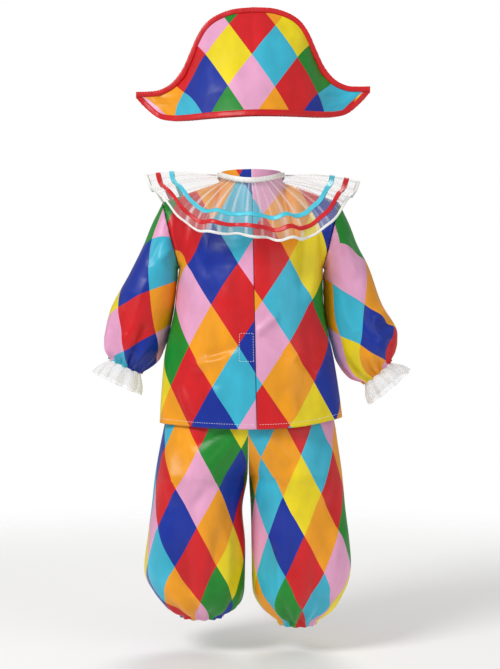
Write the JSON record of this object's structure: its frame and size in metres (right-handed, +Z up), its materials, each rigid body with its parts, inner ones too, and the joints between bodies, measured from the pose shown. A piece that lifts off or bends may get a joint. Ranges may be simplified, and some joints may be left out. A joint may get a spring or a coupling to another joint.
{
  "type": "harlequin costume of bicorne hat, ruffled top and trousers",
  "caption": "Toddler's harlequin costume as worn: bicorne hat, diamond-print satin top with balloon sleeves, sheer ruff and cuffs, and gathered trousers.",
  "frame": {"origin": "centre of the top's neck opening, level with the base of the wearer's neck", "axes": "+Z up, +Y the way the wearer faces, +X towards the wearer's right"},
  "size_m": [0.4615, 0.2257, 0.895],
  "materials": {
    "printed_satin": "satin with a print of diamonds in seven colours",
    "red_binding": "red bias tape",
    "white_organza": "sheer white organza",
    "white_tape": "white woven tape",
    "turquoise_ribbon": "turquoise satin ribbon",
    "red_ribbon": "red satin ribbon"
  },
  "bodies": {
    "root": {"hat_back_panel": "printed_satin", "hat_front_panel": "printed_satin", "hat_top_binding": "red_binding", "hat_back_binding": "red_binding", "hat_front_binding": "red_binding", "top_back_left": "printed_satin", "top_back_right": "printed_satin", "top_front": "printed_satin", "sleeve_left": "printed_satin", "sleeve_right": "printed_satin", "cuff_ruffle_left": "white_organza", "cuff_ruffle_right": "white_organza", "collar_band": "white_tape", "collar_ruffle": "white_organza", "collar_ribbon_turquoise": "turquoise_ribbon", "collar_ribbon_red": "red_ribbon", "collar_edge": "white_tape", "trouser_waistband": "printed_satin", "trouser_leg_left": "printed_satin", "trouser_leg_right": "printed_satin"}
  },
  "joints": []
}
